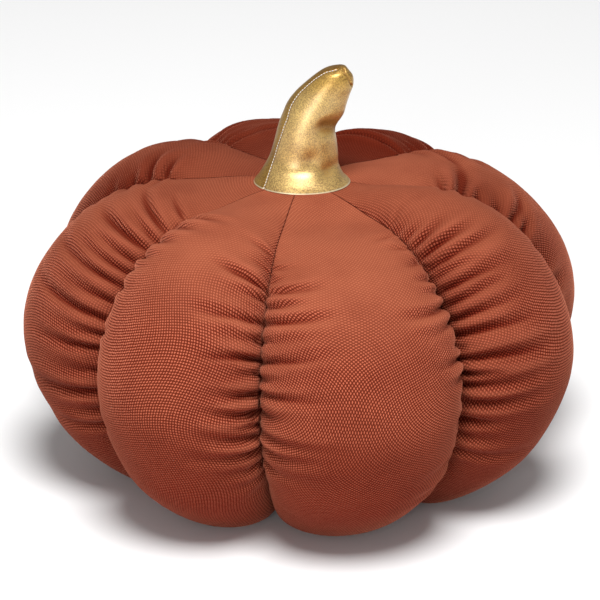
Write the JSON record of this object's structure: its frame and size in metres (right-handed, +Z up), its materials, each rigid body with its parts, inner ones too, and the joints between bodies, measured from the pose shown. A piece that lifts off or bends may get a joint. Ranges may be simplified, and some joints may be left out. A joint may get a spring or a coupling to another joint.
{
  "type": "pumpkin cushion",
  "caption": "Round filled cushion in the shape of a pumpkin, with plump lobes between drawn-in seams and a curved stuffed stem on top.",
  "frame": {"origin": "on the resting surface, below the middle of the cushion", "axes": "+Z up, -Y towards the front, +X to the right as seen from the front, the way the stem leans"},
  "size_m": [0.3869, 0.3977, 0.2951],
  "materials": {
    "velvet": "terracotta upholstery velvet with a small raised diamond weave and a soft pile sheen",
    "gold_leather": "soft metallic gold imitation leather with a satin sheen and fine creases",
    "thread": "pale sewing thread"
  },
  "bodies": {
    "root": {"cushion_body": "velvet", "stem": "gold_leather"}
  },
  "joints": []
}
